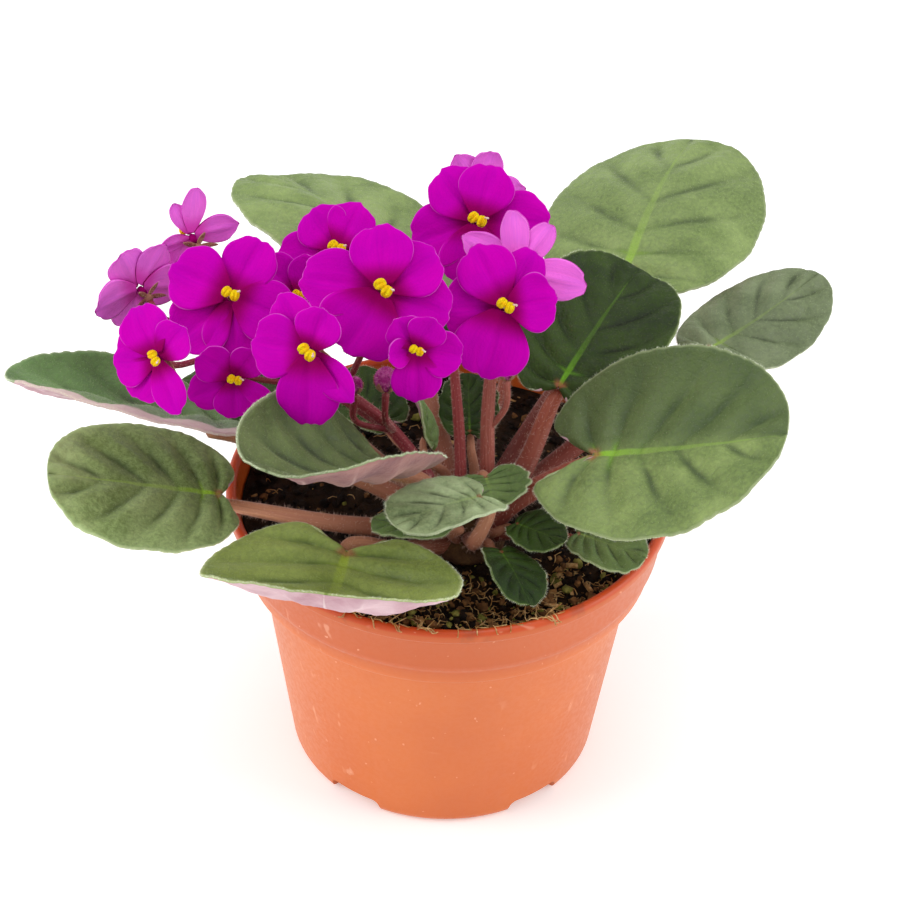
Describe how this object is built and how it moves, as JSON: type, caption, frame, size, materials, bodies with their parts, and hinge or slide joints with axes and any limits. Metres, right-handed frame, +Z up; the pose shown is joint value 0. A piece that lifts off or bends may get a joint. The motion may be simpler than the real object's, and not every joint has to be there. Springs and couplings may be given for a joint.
{
  "type": "potted african violet",
  "caption": "Flowering african violet: a rosette of hairy oval leaves and purple blooms growing in a soil-filled plastic flower pot.",
  "frame": {"origin": "centre of the pot's foot, on the surface it stands on", "axes": "+Z up, along the pot's axis; +X along the plant's longest spread, to the right seen from the front; the front faces -Y"},
  "size_m": [0.2196, 0.2088, 0.174],
  "materials": {
    "pot_plastic": "satin moulded terracotta plastic with light scuffs",
    "peat": "damp dark peat with fibres and lighter crumbs",
    "leaf_stalk": "pinkish brown, covered in white hairs",
    "flower_stalk": "wine red, finely hairy",
    "leaf": "matt grey-green, velvety, with sunken veins",
    "young_leaf": "brighter green, thick with silvery hairs",
    "petal": "satin magenta-purple with a fine pale rim",
    "anther": "bright yellow, dusty",
    "bud": "purple, hairy, half shut in its calyx"
  },
  "bodies": {
    "root": {"pot": "pot_plastic", "soil": "peat", "plant_stems": "leaf_stalk", "leaf_right_front": "leaf", "leaf_right_middle": "leaf", "leaf_right_back": "leaf", "leaf_back_right": "leaf", "leaf_back_left": "leaf", "leaf_left_upper": "leaf", "leaf_left_lower": "leaf", "leaf_front_left": "leaf", "leaf_centre_folded": "leaf", "young_front": "young_leaf", "young_under": "young_leaf", "young_right": "young_leaf", "young_low": "young_leaf", "young_dark": "young_leaf", "young_behind": "young_leaf", "young_edge": "young_leaf", "young_bright": "young_leaf", "leaf_under_blooms": "leaf", "leaf_back_low": "leaf", "leaf_right_low": "leaf", "stalk_right": "flower_stalk", "stalk_centre": "flower_stalk", "stalk_left": "flower_stalk", "bloom_top": "petal", "bloom_top_anthers": "anther", "bloom_right": "petal", "bloom_right_anthers": "anther", "bloom_right_back": "petal", "bloom_right_back_anthers": "anther", "bloom_top_back": "petal", "bloom_top_back_anthers": "anther", "bloom_centre": "petal", "bloom_centre_anthers": "anther", "bloom_centre_back": "petal", "bloom_centre_back_anthers": "anther", "bloom_small": "petal", "bloom_small_anthers": "anther", "bloom_left_front": "petal", "bloom_left_front_anthers": "anther", "bloom_left": "petal", "bloom_left_anthers": "anther", "bloom_left_behind": "petal", "bloom_left_behind_anthers": "anther", "bloom_left_low": "petal", "bloom_left_low_anthers": "anther", "bloom_far_left": "petal", "bloom_far_left_anthers": "anther", "bloom_side": "petal", "bloom_side_anthers": "anther", "bloom_from_behind": "petal", "bloom_from_behind_anthers": "anther", "bud_centre": "bud", "bud_right": "bud", "bud_left": "bud"}
  },
  "joints": []
}
